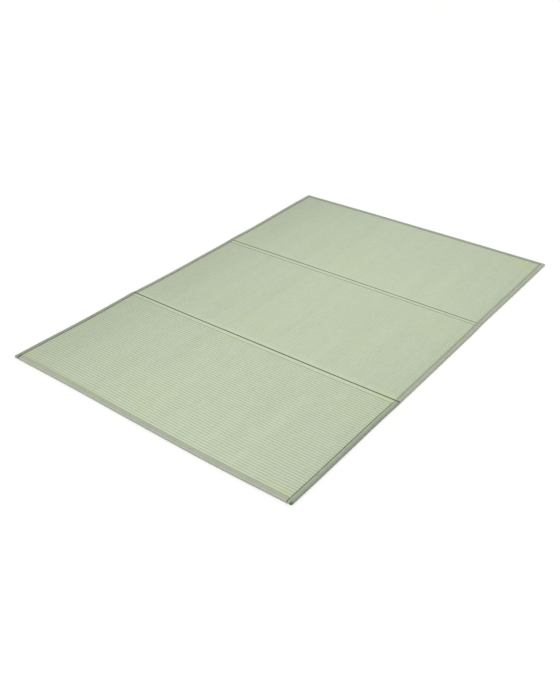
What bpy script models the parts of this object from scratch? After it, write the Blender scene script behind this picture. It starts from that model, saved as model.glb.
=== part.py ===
"""Tatami mat of three woven rush panels, bound in cloth and laid out flat.

Metres, +Z up. X runs across the mat, Y along it from the near end to the far end, and the
origin is on the floor under the middle of the mat's bounding box.

Every piece is drawn on a square, true mat first. lie() then moves it by the few
millimetres that the soft mat lies out of true, so that neighbours keep their gaps.
"""
from collections import namedtuple
from math import cos, radians, sin

import bmesh
import bpy
import numpy as np

# ---- driving dimensions -------------------------------------------------------------
HALF_WIDTH = 0.7086          # centre line to the outermost edge of the side bindings
HALF_LENGTH = 1.0095         # centre to the outermost edge of the end bindings
THICKNESS = 0.010            # the mat, flush over its panels and bindings
BINDING_WIDTH = 0.019        # each leg of a folded binding, above and below the panel
BINDING_CLOTH = 0.0012       # the binding's own cloth
PANEL_EDGE_HALF = 0.0033     # half the panel's thickness where the binding grips it
CROWN_START = 0.0198         # from the outer edge: the panel starts to swell here
CROWN_END = 0.026            # and is at its full thickness here
SPINE_HALF = 0.0047          # half the thickness of the strip between panels two and three
GAP = 0.0003                 # between pieces that touch

MIDDLE = THICKNESS / 2
NOSE_CENTRE = 0.00453        # the rounded edges of all pieces share this centre line
NOSE_ANGLES = (25, 50, 75, 90)
SPANS_ACROSS = 8             # divisions of a panel's open middle
SPANS_ALONG = 6

# ---- the lines that the mat is divided by ----------------------------------------------
# y of each line, and how far it strays at five places across the mat
CrossLine = namedtuple("CrossLine", "y left mid_left middle mid_right right")
NEAR_END = CrossLine(-HALF_LENGTH, 0.0038, 0.0050, 0.0017, 0.0004, 0.0084)
FOLD = CrossLine(-0.3470, -0.0045, -0.0043, 0.0000, 0.0037, 0.0090)
SPINE_NEAR = CrossLine(0.3060, -0.0100, -0.0047, 0.0000, 0.0041, 0.0075)
SPINE_FAR = CrossLine(0.3295, -0.0085, -0.0038, -0.0008, 0.0004, 0.0025)
FAR_END = CrossLine(HALF_LENGTH, -0.0040, -0.0005, -0.0015, -0.0030, -0.0065)
CROSS_LINES = (NEAR_END, FOLD, SPINE_NEAR, SPINE_FAR, FAR_END)
ACROSS = (-HALF_WIDTH, -HALF_WIDTH / 2, 0, HALF_WIDTH / 2, HALF_WIDTH)

# how far the side edges draw in from the full half width, on both sides of the fold
SideInset = namedtuple("SideInset", "y left right")
NEAR_INSETS = (
    SideInset(NEAR_END.y, 0.0000, 0.0013),
    SideInset(-0.90, 0.0025, 0.0006),
    SideInset(-0.68, 0.0095, 0.0012),
    SideInset(-0.45, 0.0095, 0.0016),
    SideInset(FOLD.y, 0.0075, 0.0000),
)
FAR_INSETS = (
    SideInset(FOLD.y, 0.0105, 0.0003),
    SideInset(-0.22, 0.0158, 0.0005),
    SideInset(-0.07, 0.0188, 0.0008),
    SideInset(0.12, 0.0183, 0.0018),
    SideInset(0.25, 0.0190, 0.0026),
    SideInset(0.36, 0.0160, 0.0052),
    SideInset(0.46, 0.0182, 0.0050),
    SideInset(0.68, 0.0137, 0.0048),
    SideInset(0.85, 0.0098, 0.0054),
    SideInset(FAR_END.y, 0.0090, 0.0059),
)

Finish = namedtuple("Finish", "name color roughness")
RUSH = Finish("woven_rush", (0.472, 0.530, 0.396), 0.62)
BINDING = Finish("binding_cloth", (0.305, 0.352, 0.270), 0.85)

# a line of the grid that a piece is made on, with the half thickness along it
Station = namedtuple("Station", "at half")


# ---- how the mat lies --------------------------------------------------------------------
def smooth(at, places, values):
    """Value at a place of the smooth curve through a table's places and values."""
    places, values = np.array(places), np.array(values)
    slopes = np.gradient(values, places)
    at = np.clip(at, places[0], places[-1])
    low = np.clip(np.searchsorted(places, at, side="right") - 1, 0, len(places) - 2)
    high, step = low + 1, places[low + 1] - places[low]
    t = (at - places[low]) / step
    level = values[low] * (1 + 2 * t) * (1 - t) ** 2 + values[high] * t * t * (3 - 2 * t)
    return level + step * t * (1 - t) * (slopes[low] * (1 - t) - slopes[high] * t)


def inset_at(y, insets, side):
    return smooth(y, [row.y for row in insets], [getattr(row, side) for row in insets])


def stray_at(x, y):
    """How far cross lines stray at x, shared out evenly between one line and the next."""
    strays = [smooth(x, ACROSS, line[1:]) for line in CROSS_LINES]
    stray = strays[0]
    for low, high, low_stray, high_stray in zip(CROSS_LINES, CROSS_LINES[1:], strays, strays[1:]):
        stray = stray + (high_stray - low_stray) * np.clip((y - low.y) / (high.y - low.y), 0, 1)
    return stray


def lie(x, y, insets):
    """Move a point of the true mat to where the soft mat lies."""
    across = x / HALF_WIDTH
    left, right = (1 - across) / 2, (1 + across) / 2
    shift_x = inset_at(y, insets, "left") * left - inset_at(y, insets, "right") * right
    return x + shift_x, y + stray_at(x, y)


# ---- grid lines ------------------------------------------------------------------------------
def nose(edge, inward, radius):
    """Stations of a rounded edge, from the outer edge inward to its full thickness."""
    rows = []
    for angle in NOSE_ANGLES:
        inset = NOSE_CENTRE - radius * cos(radians(angle))
        rows.append(Station(edge + inward * inset, radius * sin(radians(angle))))
    return rows


def gripped_edge(edge, inward):
    """A panel's edge inside a binding: thin under the cloth, then swelling to its crown."""
    rows = nose(edge, inward, PANEL_EDGE_HALF)
    rows.append(Station(edge + inward * CROWN_START, PANEL_EDGE_HALF))
    rows.append(Station(edge + inward * CROWN_END, MIDDLE))
    return rows


def even_places(low, high, spans):
    """Places that divide a stretch evenly, with both its ends."""
    return [low + (high - low) * number / spans for number in range(spans + 1)]


def spread(low_rows, high_rows, spans):
    """Two edges' stations with even divisions between their inner ends."""
    places = even_places(low_rows[-1].at, high_rows[-1].at, spans)[1:-1]
    return low_rows + [Station(at, low_rows[-1].half) for at in places] + high_rows[::-1]


def stations_across():
    return spread(gripped_edge(-HALF_WIDTH, 1), gripped_edge(HALF_WIDTH, -1), SPANS_ACROSS)


# ---- solids --------------------------------------------------------------------------------
def box_faces(columns, rows, missing=()):
    """Faces of a top and a bottom grid with walls between them, as vertex numbers."""
    layer = columns * rows

    def strip(line, wall):
        if wall in missing:
            return []
        return [(a, b, b + layer, a + layer) for a, b in zip(line, line[1:])]

    faces = []
    for column in range(columns - 1):
        for row in range(rows - 1):
            corner = column * rows + row
            top = (corner, corner + rows, corner + rows + 1, corner + 1)
            faces.append(top)
            faces.append(tuple(number + layer for number in reversed(top)))
    last = (columns - 1) * rows
    faces += strip(list(range(rows)), "first column")
    faces += strip(list(range(last, last + rows)), "last column")
    faces += strip(list(range(0, layer, rows)), "first row")
    faces += strip(list(range(rows - 1, layer, rows)), "last row")
    return faces


def box_points(columns, rows, insets):
    """Top points then bottom points of a grid box, where the mat lies."""
    top, bottom = [], []
    for column in columns:
        for row in rows:
            x, y = lie(column.at, row.at, insets)
            half = min(column.half, row.half)
            top.append((x, y, MIDDLE + half))
            bottom.append((x, y, MIDDLE - half))
    return top + bottom


def open_edges(faces):
    """Edges that only one face uses."""
    uses = {}
    for face in faces:
        for edge in zip(face, face[1:] + face[:1]):
            uses.setdefault(frozenset(edge), []).append(edge)
    return [found[0] for found in uses.values() if len(found) == 1]


def add_solid(name, points, faces, finish, parent):
    """One closed mesh object whose origin is at the middle of its box."""
    centre = [(min(axis) + max(axis)) / 2 for axis in zip(*points)]
    mesh = bpy.data.meshes.new(name)
    work = bmesh.new()
    vertices = [work.verts.new([p - c for p, c in zip(point, centre)]) for point in points]
    for face in faces:
        work.faces.new([vertices[number] for number in face])
    bmesh.ops.recalc_face_normals(work, faces=work.faces)
    work.to_mesh(mesh)
    work.free()
    mesh.materials.append(finish)
    piece = bpy.data.objects.new(name, mesh)
    piece.location = centre
    piece.parent = parent
    bpy.context.collection.objects.link(piece)
    return piece


def add_material(finish):
    material = bpy.data.materials.new(finish.name)
    material.use_nodes = True
    shader = material.node_tree.nodes["Principled BSDF"]
    shader.inputs["Base Color"].default_value = (*finish.color, 1)
    shader.inputs["Roughness"].default_value = finish.roughness
    shader.inputs["Metallic"].default_value = 0
    return material


def add_woven_piece(name, near_rows, far_rows, spans, insets, finish, parent):
    """A panel or the spine: one pillowed solid between two lines across the mat."""
    columns = stations_across()
    rows = spread(near_rows, far_rows, spans)
    points = box_points(columns, rows, insets)
    faces = box_faces(len(columns), len(rows))
    return add_solid(name, points, faces, finish, parent)


def add_binding(name, lay_out, missing, insets, finish, parent):
    """Cloth folded round an edge: an outer and an inner surface joined along their rims."""
    outer = lay_out(MIDDLE)
    inner = lay_out(MIDDLE - BINDING_CLOTH)
    sizes = [len(stations) for stations in outer]
    faces = box_faces(*sizes, missing)
    outer_points = box_points(*outer, insets)
    first_inner = len(outer_points)
    inner_faces = [tuple(number + first_inner for number in reversed(face)) for face in faces]
    rims = [(a, b, b + first_inner, a + first_inner) for a, b in open_edges(faces)]
    points = outer_points + box_points(*inner, insets)
    return add_solid(name, points, faces + inner_faces + rims, finish, parent)


def side_layout(side, end, knots):
    """Stations of a side binding: cut square at the fold, closed over at the mat's end."""
    def lay_out(radius):
        edge = side * HALF_WIDTH
        columns = nose(edge, -side, radius)
        columns.append(Station(edge - side * BINDING_WIDTH, radius))
        rows = [Station(y, radius) for y in knots]
        rows += nose(end * HALF_LENGTH, -end, radius)[::-1]
        return columns, rows
    return lay_out


def end_layout(end):
    """Stations of an end binding, which butts against the two side bindings."""
    def lay_out(radius):
        reach = HALF_WIDTH - BINDING_WIDTH - GAP
        open_middle = [s for s in stations_across() if s.half == MIDDLE and abs(s.at) < reach]
        columns = [Station(-reach, radius)]
        columns += [Station(s.at, radius) for s in open_middle]
        columns.append(Station(reach, radius))
        edge = end * HALF_LENGTH
        rows = nose(edge, -end, radius)
        rows.append(Station(edge - end * BINDING_WIDTH, radius))
        return columns, rows
    return lay_out


# ---- the mat ---------------------------------------------------------------------------------
def clear_scene():
    for existing in list(bpy.data.objects):
        bpy.data.objects.remove(existing, do_unlink=True)


def add_panels(rush, parent):
    half_gap = GAP / 2

    def edge(line, toward):
        return nose(line.y + toward * half_gap, toward, MIDDLE)

    def spine_edge(line, toward):
        return nose(line.y + toward * half_gap, toward, SPINE_HALF)

    near_end = gripped_edge(-HALF_LENGTH, 1)
    far_end = gripped_edge(HALF_LENGTH, -1)
    add_woven_piece("panel_near", near_end, edge(FOLD, -1), SPANS_ALONG, NEAR_INSETS, rush, parent)
    add_woven_piece("panel_middle", edge(FOLD, 1), edge(SPINE_NEAR, -1), SPANS_ALONG,
                    FAR_INSETS, rush, parent)
    add_woven_piece("fold_spine", spine_edge(SPINE_NEAR, 1), spine_edge(SPINE_FAR, -1), 1,
                    FAR_INSETS, rush, parent)
    add_woven_piece("panel_far", edge(SPINE_FAR, 1), far_end, SPANS_ALONG, FAR_INSETS, rush, parent)


def add_bindings(cloth, parent):
    # the bindings bend where the rows of the panels inside them do
    cut, round_end = GAP / 2, GAP / 2 + NOSE_CENTRE
    near_knots = [FOLD.y - cut]
    near_knots += even_places(FOLD.y - round_end, CROWN_END - HALF_LENGTH, SPANS_ALONG)
    far_knots = [FOLD.y + cut]
    far_knots += even_places(FOLD.y + round_end, SPINE_NEAR.y - round_end, SPANS_ALONG)
    far_knots += [SPINE_NEAR.y, SPINE_FAR.y]
    far_knots += even_places(SPINE_FAR.y + round_end, HALF_LENGTH - CROWN_END, SPANS_ALONG)
    for side, side_name in ((-1, "left"), (1, "right")):
        add_binding(f"side_binding_near_{side_name}", side_layout(side, -1, near_knots),
                    ("last column", "first row"), NEAR_INSETS, cloth, parent)
        add_binding(f"side_binding_far_{side_name}", side_layout(side, 1, far_knots),
                    ("last column", "first row"), FAR_INSETS, cloth, parent)
    for end, end_name, insets in ((-1, "near", NEAR_INSETS), (1, "far", FAR_INSETS)):
        add_binding(f"end_binding_{end_name}", end_layout(end),
                    ("last row", "first column", "last column"), insets, cloth, parent)


def main():
    clear_scene()
    mat = bpy.data.objects.new("tatami_mat", None)
    bpy.context.collection.objects.link(mat)
    add_panels(add_material(RUSH), mat)
    add_bindings(add_material(BINDING), mat)


main()
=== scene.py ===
"""Looks of the fold-up tatami mat: woven rush, cloth binding, stitches, floor and light.

Metres, +Z up. X runs across the mat and Y along it, from the near end to the far end. Each
piece is drawn on a square, true mat first, and lie() then moves it to where the soft mat
lies, as its solids do, so that neighbours move together.
"""
from collections import namedtuple
from math import cos, pi, radians, sin

import bpy
import numpy as np
from bpy.props import FloatProperty, FloatVectorProperty, IntProperty, PointerProperty
from bpy.types import Operator, Panel, PropertyGroup
from mathutils import Matrix, Vector


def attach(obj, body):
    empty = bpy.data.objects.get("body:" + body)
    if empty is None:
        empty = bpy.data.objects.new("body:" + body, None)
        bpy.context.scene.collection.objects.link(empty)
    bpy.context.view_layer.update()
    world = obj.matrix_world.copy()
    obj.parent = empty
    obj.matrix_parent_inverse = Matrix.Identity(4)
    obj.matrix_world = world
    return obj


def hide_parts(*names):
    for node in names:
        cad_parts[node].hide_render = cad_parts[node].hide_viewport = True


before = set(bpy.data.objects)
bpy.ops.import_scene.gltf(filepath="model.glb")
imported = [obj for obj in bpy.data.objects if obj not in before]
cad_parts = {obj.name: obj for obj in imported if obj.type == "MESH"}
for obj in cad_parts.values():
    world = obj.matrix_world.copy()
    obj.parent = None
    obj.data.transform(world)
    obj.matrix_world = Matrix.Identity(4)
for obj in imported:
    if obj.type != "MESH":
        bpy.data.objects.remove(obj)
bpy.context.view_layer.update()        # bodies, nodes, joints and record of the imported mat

bl_info = {
    "name": "Tatami mat looks",
    "version": (1, 0, 0),
    "blender": (4, 5, 0),
    "location": "3D View > Sidebar > Tatami",
    "description": "Builds a fold-up tatami mat round its packed solids",
    "category": "Object",
}

BODY = "root"

# ---- the mat's main sizes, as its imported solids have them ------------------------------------
HALF_WIDTH = 0.7086          # centre line to the outermost edge of the side bindings
HALF_LENGTH = 1.0095         # centre to the outermost edge of the end bindings
MIDDLE = 0.005               # half the thickness
SPINE_HALF = 0.0047          # half the thickness of the strip between panels two and three
HALF_GAP = 0.00015           # half the gap between woven pieces that meet at a fold
NOSE_CENTRE = 0.00453        # rounded edges of all layers turn about this line, in from the edge
GRIP_HALF = 0.0033           # half the panel's thickness where a binding holds it
SLOT_HALF = 0.0026           # and at the bottom of the slot along the binding's lip
SLOT_WIDTH = 0.0018
SWELL = 0.0024               # a panel rises from the slot to its full height over this way

# ---- where the mat is divided, and how far out of true it lies -------------------------------
# y of each line, and how far it strays at five places across the mat
CrossLine = namedtuple("CrossLine", "y left mid_left middle mid_right right")
NEAR_END = CrossLine(-HALF_LENGTH, 0.0038, 0.0050, 0.0017, 0.0004, 0.0084)
FOLD = CrossLine(-0.3470, -0.0045, -0.0043, 0.0000, 0.0037, 0.0090)
SPINE_NEAR = CrossLine(0.3060, -0.0100, -0.0047, 0.0000, 0.0041, 0.0075)
SPINE_FAR = CrossLine(0.3295, -0.0085, -0.0038, -0.0008, 0.0004, 0.0025)
FAR_END = CrossLine(HALF_LENGTH, -0.0040, -0.0005, -0.0015, -0.0030, -0.0065)
CROSS_LINES = (NEAR_END, FOLD, SPINE_NEAR, SPINE_FAR, FAR_END)
ACROSS = (-HALF_WIDTH, -HALF_WIDTH / 2, 0, HALF_WIDTH / 2, HALF_WIDTH)

# how far the side edges draw in from the full half width, before and after the fold
SideInset = namedtuple("SideInset", "y left right")
Section = namedtuple("Section", "low high insets")
BEFORE_FOLD = Section(NEAR_END.y, FOLD.y, (
    SideInset(NEAR_END.y, 0.0000, 0.0013),
    SideInset(-0.90, 0.0025, 0.0006),
    SideInset(-0.68, 0.0095, 0.0012),
    SideInset(-0.45, 0.0095, 0.0016),
    SideInset(FOLD.y, 0.0075, 0.0000),
))
AFTER_FOLD = Section(FOLD.y, FAR_END.y, (
    SideInset(FOLD.y, 0.0105, 0.0003),
    SideInset(-0.22, 0.0158, 0.0005),
    SideInset(-0.07, 0.0188, 0.0008),
    SideInset(0.12, 0.0183, 0.0018),
    SideInset(0.25, 0.0190, 0.0026),
    SideInset(0.36, 0.0160, 0.0052),
    SideInset(0.46, 0.0182, 0.0050),
    SideInset(0.68, 0.0137, 0.0048),
    SideInset(0.85, 0.0098, 0.0054),
    SideInset(FAR_END.y, 0.0090, 0.0059),
))

# the bindings: which side and end they are on, how much narrower than the binding width (or
# wider, with a minus), how light the cloth is drawn below, at its outer edge and at its lip
# (painted light and shade, as light falls on each binding's rounding and underside), how dark the
# painted shade in the slot along the lip is, where across the cloth its stitches run, how dark
# the painted shade at its folded corner is, how far the dye has faded on its outer part, and the
# gap to the end binding beside it
Tape = namedtuple("Tape", "label side end narrower below outer lip slot seam corner faded butt")
SIDE_TAPES = (
    Tape("near_left", -1, -1, 0.0005, 0.50, 0.73, 0.80, 0.75, 0.80, 0.2, 0.60, 0.0075),
    Tape("near_right", 1, -1, 0.0025, 0.60, 0.81, 1.07, 1.00, 0.80, 0.9, 0.10, 0.0030),
    Tape("far_left", -1, 1, 0.0000, 0.60, 0.84, 0.90, 0.42, 0.80, 0.2, 0.40, 0.0016),
    Tape("far_right", 1, 1, 0.0020, 1.05, 1.05, 0.99, 0.40, 0.80, 0.2, 0.20, 0.0016),
)
END_TAPES = (
    Tape("end_near", 0, -1, -0.0008, 0.25, 1.05, 1.07, 0.38, 0.50, 0, 0.50, 0),
    Tape("end_far", 0, 1, 0.0000, 0.60, 0.94, 0.90, 0.30, 0.50, 0, 0.30, 0),
)
TAPES = {tape.label: tape for tape in SIDE_TAPES + END_TAPES}

# a grid line of a piece: plain lines have no pull and full lift
Line = namedtuple("Line", "base pull lift")
# soft noise: how much, over bumps how wide, and the number added to the seed of its piece
Noise = namedtuple("Noise", "amount cell draw")


def linear(code):
    """Linear red, green and blue of an sRGB hex colour such as #b8c2aa."""
    channels = [int(code[i:i + 2], 16) / 255 for i in (1, 3, 5)]
    return [c / 12.92 if c <= 0.04045 else ((c + 0.055) / 1.055) ** 2.4 for c in channels]


def colour_setting(name, description, code):
    return FloatVectorProperty(name=name, description=description, subtype="COLOR",
                               size=3, min=0, max=1, default=linear(code))


def length_setting(name, description, metres):
    return FloatProperty(name=name, description=description, default=metres, min=0,
                         precision=4, unit="LENGTH")


# ---- what a user may change ------------------------------------------------------------------
class TatamiSizes(PropertyGroup):
    """Sizes of the weave, the binding and the stitches."""

    rib_pitch: length_setting("Rib pitch", "From one rib of the weave to the next", 0.0125)
    rib_height: length_setting("Rib height", "From the valleys to the crests", 0.0014)
    stem_width: length_setting("Stem width", "One rush stem as it lies in the weave", 0.0014)
    binding_width: length_setting("Binding width", "One leg of the folded binding", 0.0190)
    cloth: length_setting("Binding cloth", "Thickness of the binding cloth", 0.0012)
    thread_pitch: length_setting("Cloth threads", "Thread spacing drawn in the cloth", 0.0011)
    stitch_pitch: length_setting("Stitch pitch", "From one stitch to the next", 0.0046)
    stitch_length: length_setting("Stitch length", "Seen length of one stitch", 0.0034)
    stitch_width: length_setting("Stitch width", "Thickness of the sewing thread", 0.0007)
    corner: length_setting("Corner radius", "Rounding of the corners in plan", 0.0025)
    unevenness: length_setting("Unevenness", "Height of the soft waves in the panels", 0.0003)
    columns: IntProperty(name="Columns", description="Divisions across a panel's open face",
                         default=84, min=10, max=150)


class TatamiColours(PropertyGroup):
    """Colours of the rush, the cloth, the thread and the floor."""

    rush: colour_setting("Rush", "Main colour of the dried rush", "#b4bea5")
    rush_dark: colour_setting("Dark rush", "The greener, darker stems", "#9dac8f")
    rush_pale: colour_setting("Pale rush", "The palest stems", "#c6cfb6")
    straw: colour_setting("Straw", "Patches that have dried yellow", "#b9c389")
    # painted shade: slots, folds, the strips by the bindings and the rush under them are drawn
    # toward this colour
    shade_colour: colour_setting("Deep", "Down in slots and folds", "#39462b")
    binding: colour_setting("Binding", "Binding cloth, rubbed grey", "#969c8f")
    binding_lip: colour_setting("Binding lip", "Binding cloth at its lip", "#929d85")
    binding_faded: colour_setting("Faded binding", "Where its green has faded", "#9d9b88")
    thread: colour_setting("Thread", "Sewing thread", "#8b9880")
    floor: colour_setting("Floor", "Plain pale floor", "#eaeae8")


class TatamiStage(PropertyGroup):
    """The camera and the light."""

    azimuth: FloatProperty(name="Azimuth", description="Camera's turn round the mat",
                           subtype="ANGLE", default=radians(38.63))
    elevation: FloatProperty(name="Elevation", description="Camera's height over the floor",
                             subtype="ANGLE", default=radians(33.92))
    roll: FloatProperty(name="Roll", description="Camera's tilt about its own axis",
                        subtype="ANGLE", default=radians(-1.2))
    distance: length_setting("Distance", "From the camera to the point it looks at", 3.3803)
    look_x: FloatProperty(name="Look at X", description="Point on the floor that is looked at",
                          unit="LENGTH", default=0.1293)
    look_y: FloatProperty(name="Look at Y", description="Point on the floor that is looked at",
                          unit="LENGTH", default=-0.3186)
    lens: FloatProperty(name="Lens", description="Focal length in millimetres", default=42.42)
    sky: FloatProperty(name="Surroundings", description="Strength of the white surroundings",
                       default=0.72, min=0)
    key: FloatProperty(name="Key light", description="Strength of the broad soft light",
                       default=1.9, min=0)
    key_azimuth: FloatProperty(name="Key azimuth", description="Turn of the broad soft light",
                               subtype="ANGLE", default=radians(-12))
    key_elevation: FloatProperty(name="Key elevation", description="Height of that light",
                                 subtype="ANGLE", default=radians(60))


# ---- how the mat lies ------------------------------------------------------------------------
def smooth(at, places, values):
    """Values at places of the smooth curve through a table's places and values."""
    places, values = np.array(places), np.array(values)
    slopes = np.gradient(values, places)
    at = np.clip(at, places[0], places[-1])
    low = np.clip(np.searchsorted(places, at, side="right") - 1, 0, len(places) - 2)
    high, step = low + 1, places[low + 1] - places[low]
    t = (at - places[low]) / step
    level = values[low] * (1 + 2 * t) * (1 - t) ** 2 + values[high] * t * t * (3 - 2 * t)
    return level + step * t * (1 - t) * (slopes[low] * (1 - t) - slopes[high] * t)


def inset_at(y, insets, side):
    return smooth(y, [row.y for row in insets], [getattr(row, side) for row in insets])


def stray_at(x, y):
    """How far cross lines stray at x, shared out evenly between one line and the next."""
    strays = [smooth(x, ACROSS, line[1:]) for line in CROSS_LINES]
    stray = strays[0]
    for low, high, low_stray, high_stray in zip(CROSS_LINES, CROSS_LINES[1:], strays, strays[1:]):
        stray = stray + (high_stray - low_stray) * np.clip((y - low.y) / (high.y - low.y), 0, 1)
    return stray


def smooth_step(value):
    """0 up to 0 and 1 from 1, with a smooth rise between them."""
    value = np.clip(value, 0, 1)
    return value * value * (3 - 2 * value)


def soft_noise(x, y, cell, seed):
    """Smooth noise from -1 to 1 over x and y, with bumps about one cell wide."""
    draw = np.random.default_rng(seed)
    span = int(4 * HALF_LENGTH / cell) + 4
    values = draw.uniform(-1, 1, (span, span))
    column = np.clip(x / cell + span / 2, 0, span - 2)
    row = np.clip(y / cell + span / 2, 0, span - 2)
    i, j = np.floor(column).astype(int), np.floor(row).astype(int)
    s, t = column - i, row - j
    s, t = s * s * (3 - 2 * s), t * t * (3 - 2 * t)
    low = values[i, j] * (1 - s) + values[i + 1, j] * s
    high = values[i, j + 1] * (1 - s) + values[i + 1, j + 1] * s
    return low * (1 - t) + high * t


def noise(x, y, kind, seed):
    """One kind of soft noise over x and y, for the piece with this seed."""
    return kind.amount * soft_noise(x, y, kind.cell, seed + kind.draw)


def round_corners(x, y, section, radius):
    """Turn a section's square corners into quarter circles, layer inside layer."""
    out_x = np.abs(x) - (HALF_WIDTH - radius)
    out_y = np.maximum(section.low + radius - y, y - (section.high - radius))
    corner = (out_x > 0) & (out_y > 0)
    reach = np.where(corner, np.hypot(out_x, out_y), 1)
    pull = np.where(corner, np.maximum(out_x, out_y) / reach - 1, 0)
    toward_end = np.where(y > (section.low + section.high) / 2, 1, -1)
    return x + np.sign(x) * out_x * pull, y + toward_end * out_y * pull


def lie(x, y, section, radius):
    """Move points of the true mat to where the soft mat lies."""
    x, y = round_corners(x, y, section, radius)
    across = x / HALF_WIDTH
    left, right = (1 - across) / 2, (1 + across) / 2
    insets = section.insets
    shift_x = inset_at(y, insets, "left") * left - inset_at(y, insets, "right") * right
    return x + shift_x, y + stray_at(x, y)


# ---- grid lines ------------------------------------------------------------------------------
EDGE_ANGLES = (9, 24, 40, 56, 73, 90)


def plain(places):
    return [Line(place, 0.0, 1.0) for place in places]


def rounded(tip, inward, reach, pull=0.0):
    """Lines of a rounded edge, from its tip inward over its reach."""
    return [Line(tip + inward * reach * (1 - cos(radians(a))), pull, sin(radians(a)))
            for a in EDGE_ANGLES]


def bound_edge(edge, inward, radius):
    """Lines of one layer of a bound edge. All layers turn about one line."""
    return rounded(edge + inward * (NOSE_CENTRE - radius), inward, radius)


def parts_of(lines):
    """Bases, pulls and lifts of a list of grid lines."""
    return [np.array(values) for values in zip(*lines)]


# ---- meshes ----------------------------------------------------------------------------------
def box_faces(columns, rows, missing=()):
    """Faces of a top and a bottom grid with walls between them, as vertex numbers."""
    layer = columns * rows
    numbers = np.arange(layer).reshape(columns, rows)
    a, b = numbers[:-1, :-1].ravel(), numbers[1:, :-1].ravel()
    c, d = numbers[1:, 1:].ravel(), numbers[:-1, 1:].ravel()
    faces = [np.stack([a, b, c, d], 1), np.stack([d, c, b, a], 1) + layer]
    walls = {
        "first column": numbers[0, :],
        "last column": numbers[-1, ::-1],
        "first row": numbers[::-1, 0],
        "last row": numbers[:, -1],
    }
    for wall, line in walls.items():
        if wall not in missing:
            faces.append(np.stack([line[:-1], line[1:], line[1:] + layer, line[:-1] + layer], 1))
    return np.concatenate(faces)


def open_edges(faces):
    """Edges that only one face uses, in that face's direction."""
    edges = np.stack([faces, np.roll(faces, -1, axis=1)], 2).reshape(-1, 2)
    _, first, count = np.unique(np.sort(edges, axis=1), axis=0,
                                return_index=True, return_counts=True)
    return edges[first[count == 1]]


def add_piece(name, points, faces, material, uv=None, values=None, sharp=None):
    """A mesh object that rides on the mat. uv and values hold an entry for each point."""
    mesh = bpy.data.meshes.new(name)
    mesh.from_pydata(points.tolist(), [], faces.tolist())
    mesh.materials.append(material)
    if uv is not None:
        corners = np.empty(len(mesh.loops), dtype=int)
        mesh.loops.foreach_get("vertex_index", corners)
        layer = mesh.uv_layers.new(name="weave")
        layer.data.foreach_set("uv", uv[corners].astype(np.float32).ravel())
    for label, numbers in (values or {}).items():
        attribute = mesh.attributes.new(label, "FLOAT", "POINT")
        attribute.data.foreach_set("value", numbers.astype(np.float32).ravel())
    mesh.shade_smooth()
    if sharp is not None:
        mesh.set_sharp_from_angle(angle=radians(sharp))
    piece = bpy.data.objects.new(name, mesh)
    bpy.context.scene.collection.objects.link(piece)
    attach(piece, BODY)
    return piece


# ---- woven rush ------------------------------------------------------------------------------
RIB_PHASES = (0.0, 0.06, 0.17, 0.32, 0.50, 0.68, 0.83, 0.94)
RIB_START = 0.0013           # from a binding's lip to where the ribs begin
GRIP_MARK = 0.010            # a grid line runs under a binding this far from its edge
PINCH_START = 0.0020         # short of the lip, a held panel thins down to its slot
PINCH_END = 0.0003           # from the first to the second of these
LIP_SHADOW = 0.001           # the painted shadow under a binding begins over this way
FOLD_REACH = 0.0036          # a folded edge rounds off over this way
UNDER_BINDING = 0.0013       # and is cut back this much under a side binding
FOLD_DARK = 1.45             # the painted shade at a fold's tip is its shade times this and lessens by one over this share of its rounding
FOLD_DARK_REACH = 0.45       # and pales by one over this share of its rounding
FOLD_FADE = 0.010            # the painted shade of the slots and under the side bindings fades out over this way toward a fold
HEM_GROOVE = 0.0008          # depth of the sewn line where a hem ends
HEM_GROOVE_WIDTH = 0.0022
HEM_STEPS = (-1.6, -0.8, 0, 0.8)
HEM_LEVEL = 0.75             # a hem lies at this share of the ribs' height
BACK_RELIEF = 0.5            # the ribs of the underside, lain flat, as a share of the face's
CLOSEST_LINES = 0.0002       # grid lines nearer to each other than this are one
STRIP_REACH = 0.014          # painted shade on the strip by an end binding reaches over this way
PRESSED_SHADE = 0.13         # how much painted shade lies on the first rib where the near binding presses it flat, which starts this far left of the centre line, is full this much further left and reaches over this many ribs
PRESSED_FROM = 0.05          # which starts this far left of the centre line,
PRESSED_OVER = 0.30          # is full this much further left
PRESSED_RIBS = 1.7           # and reaches over this many ribs
SIDE_FADE = 0.236            # how fast the rush darkens away from the mat's middle
SIDE_FADE_FROM = 0.15        # and from where across it

WANDER = Noise(0.0006, 0.110, 0)         # the ribs wander along the mat
WANDER_FINE = Noise(0.0003, 0.035, 1)
RIB_STRENGTH = Noise(0.20, 0.03, 2)      # each stands higher in some stretches
WAVE = Noise(1.0, 0.16, 3)               # the panels lie in gentle waves
VALLEY_SHADE_NOISE = Noise(0.25, 0.018, 4)     # the painted shade in the valleys differs from place to place and from rib to rib
RIB_SHADE_NOISE = Noise(0.40, 0.014, 5)        # and from rib to rib
RIB_NOISE_STEP = 0.02                    # ribs read their own noise this far apart

# an edge that an end binding holds: the way into the piece, the binding, how dark the painted
# shade on the strip beside it is, and the rush's tone there
BoundEdge = namedtuple("BoundEdge", "y inward tape strip tone")
# a folded edge: the way into the piece, the plain hem before its ribs begin, how dark the painted
# shade down its fold and in the hem's sewn line is, how much paler the hem is drawn (painted
# light), and the rush's tone there
FoldedEdge = namedtuple("FoldedEdge", "y inward hem shade seam pale tone")
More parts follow.
